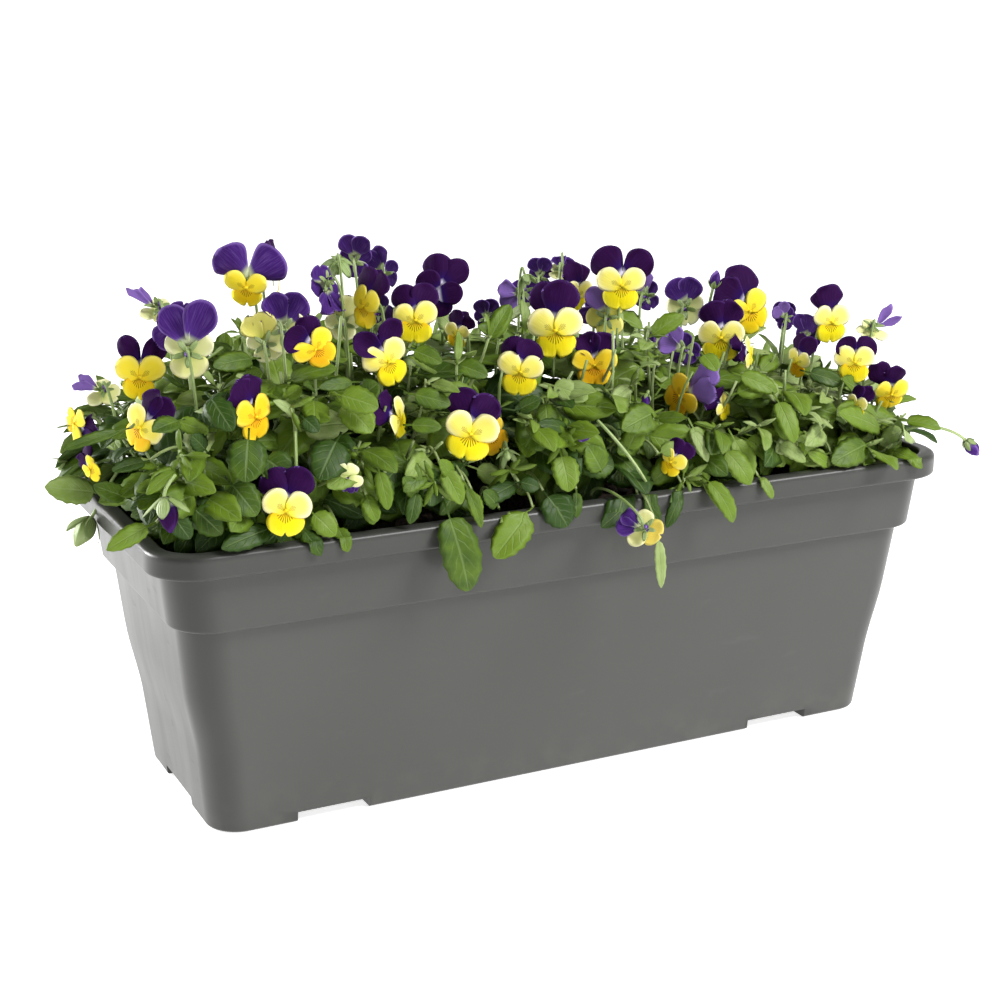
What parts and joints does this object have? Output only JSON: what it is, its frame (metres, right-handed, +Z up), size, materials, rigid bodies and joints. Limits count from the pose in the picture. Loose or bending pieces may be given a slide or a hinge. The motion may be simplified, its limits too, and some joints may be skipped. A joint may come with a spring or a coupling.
{
  "type": "planted window box",
  "caption": "Grey moulded window box with a rolled rim and collar, filled with potting soil and planted with purple and yellow horned violets in flower.",
  "frame": {"origin": "centre of the planter's footprint on the ground", "axes": "+Z up, +X along the length of the box, the long front face looks towards -Y"},
  "size_m": [0.5462, 0.2261, 0.3105],
  "materials": {
    "grey_plastic": "mid-grey moulded plastic with a satin gloss and faint flow marks",
    "potting_soil": "dark crumbly compost with fibres and a few light grains",
    "foliage": "matt to satin mid-green leaves with paler veins, on pale green stems",
    "petals": "soft petals: upper pair deep violet, side pair pale lemon, lower one deep yellow with dark whisker lines",
    "bud_petals": "rolled violet-blue petals in a pale green calyx"
  },
  "bodies": {
    "root": {"planter_box": "grey_plastic", "potting_soil": "potting_soil", "viola_1": "foliage", "viola_2": "foliage", "viola_3": "foliage", "viola_4": "foliage", "viola_5": "foliage", "flower_01": "petals", "flower_02": "petals", "flower_03": "petals", "flower_04": "petals", "flower_05": "petals", "flower_06": "petals", "flower_07": "petals", "flower_08": "petals", "flower_09": "petals", "flower_10": "petals", "flower_11": "petals", "flower_12": "petals", "flower_13": "petals", "flower_14": "petals", "flower_15": "petals", "flower_16": "petals", "flower_17": "petals", "flower_18": "petals", "flower_19": "petals", "flower_20": "petals", "flower_21": "petals", "flower_22": "petals", "flower_23": "petals", "flower_24": "petals", "flower_25": "petals", "flower_26": "petals", "flower_27": "petals", "flower_28": "petals", "flower_29": "petals", "flower_30": "petals", "flower_31": "petals", "flower_32": "petals", "flower_33": "petals", "flower_34": "petals", "flower_35": "petals", "flower_36": "petals", "flower_37": "petals", "flower_38": "petals", "flower_39": "petals", "flower_40": "petals", "flower_41": "petals", "flower_42": "petals", "flower_43": "petals", "flower_44": "petals", "flower_45": "petals", "flower_46": "petals", "flower_47": "petals", "bud_1": "bud_petals", "bud_2": "bud_petals", "bud_3": "bud_petals", "bud_4": "bud_petals"}
  },
  "joints": []
}
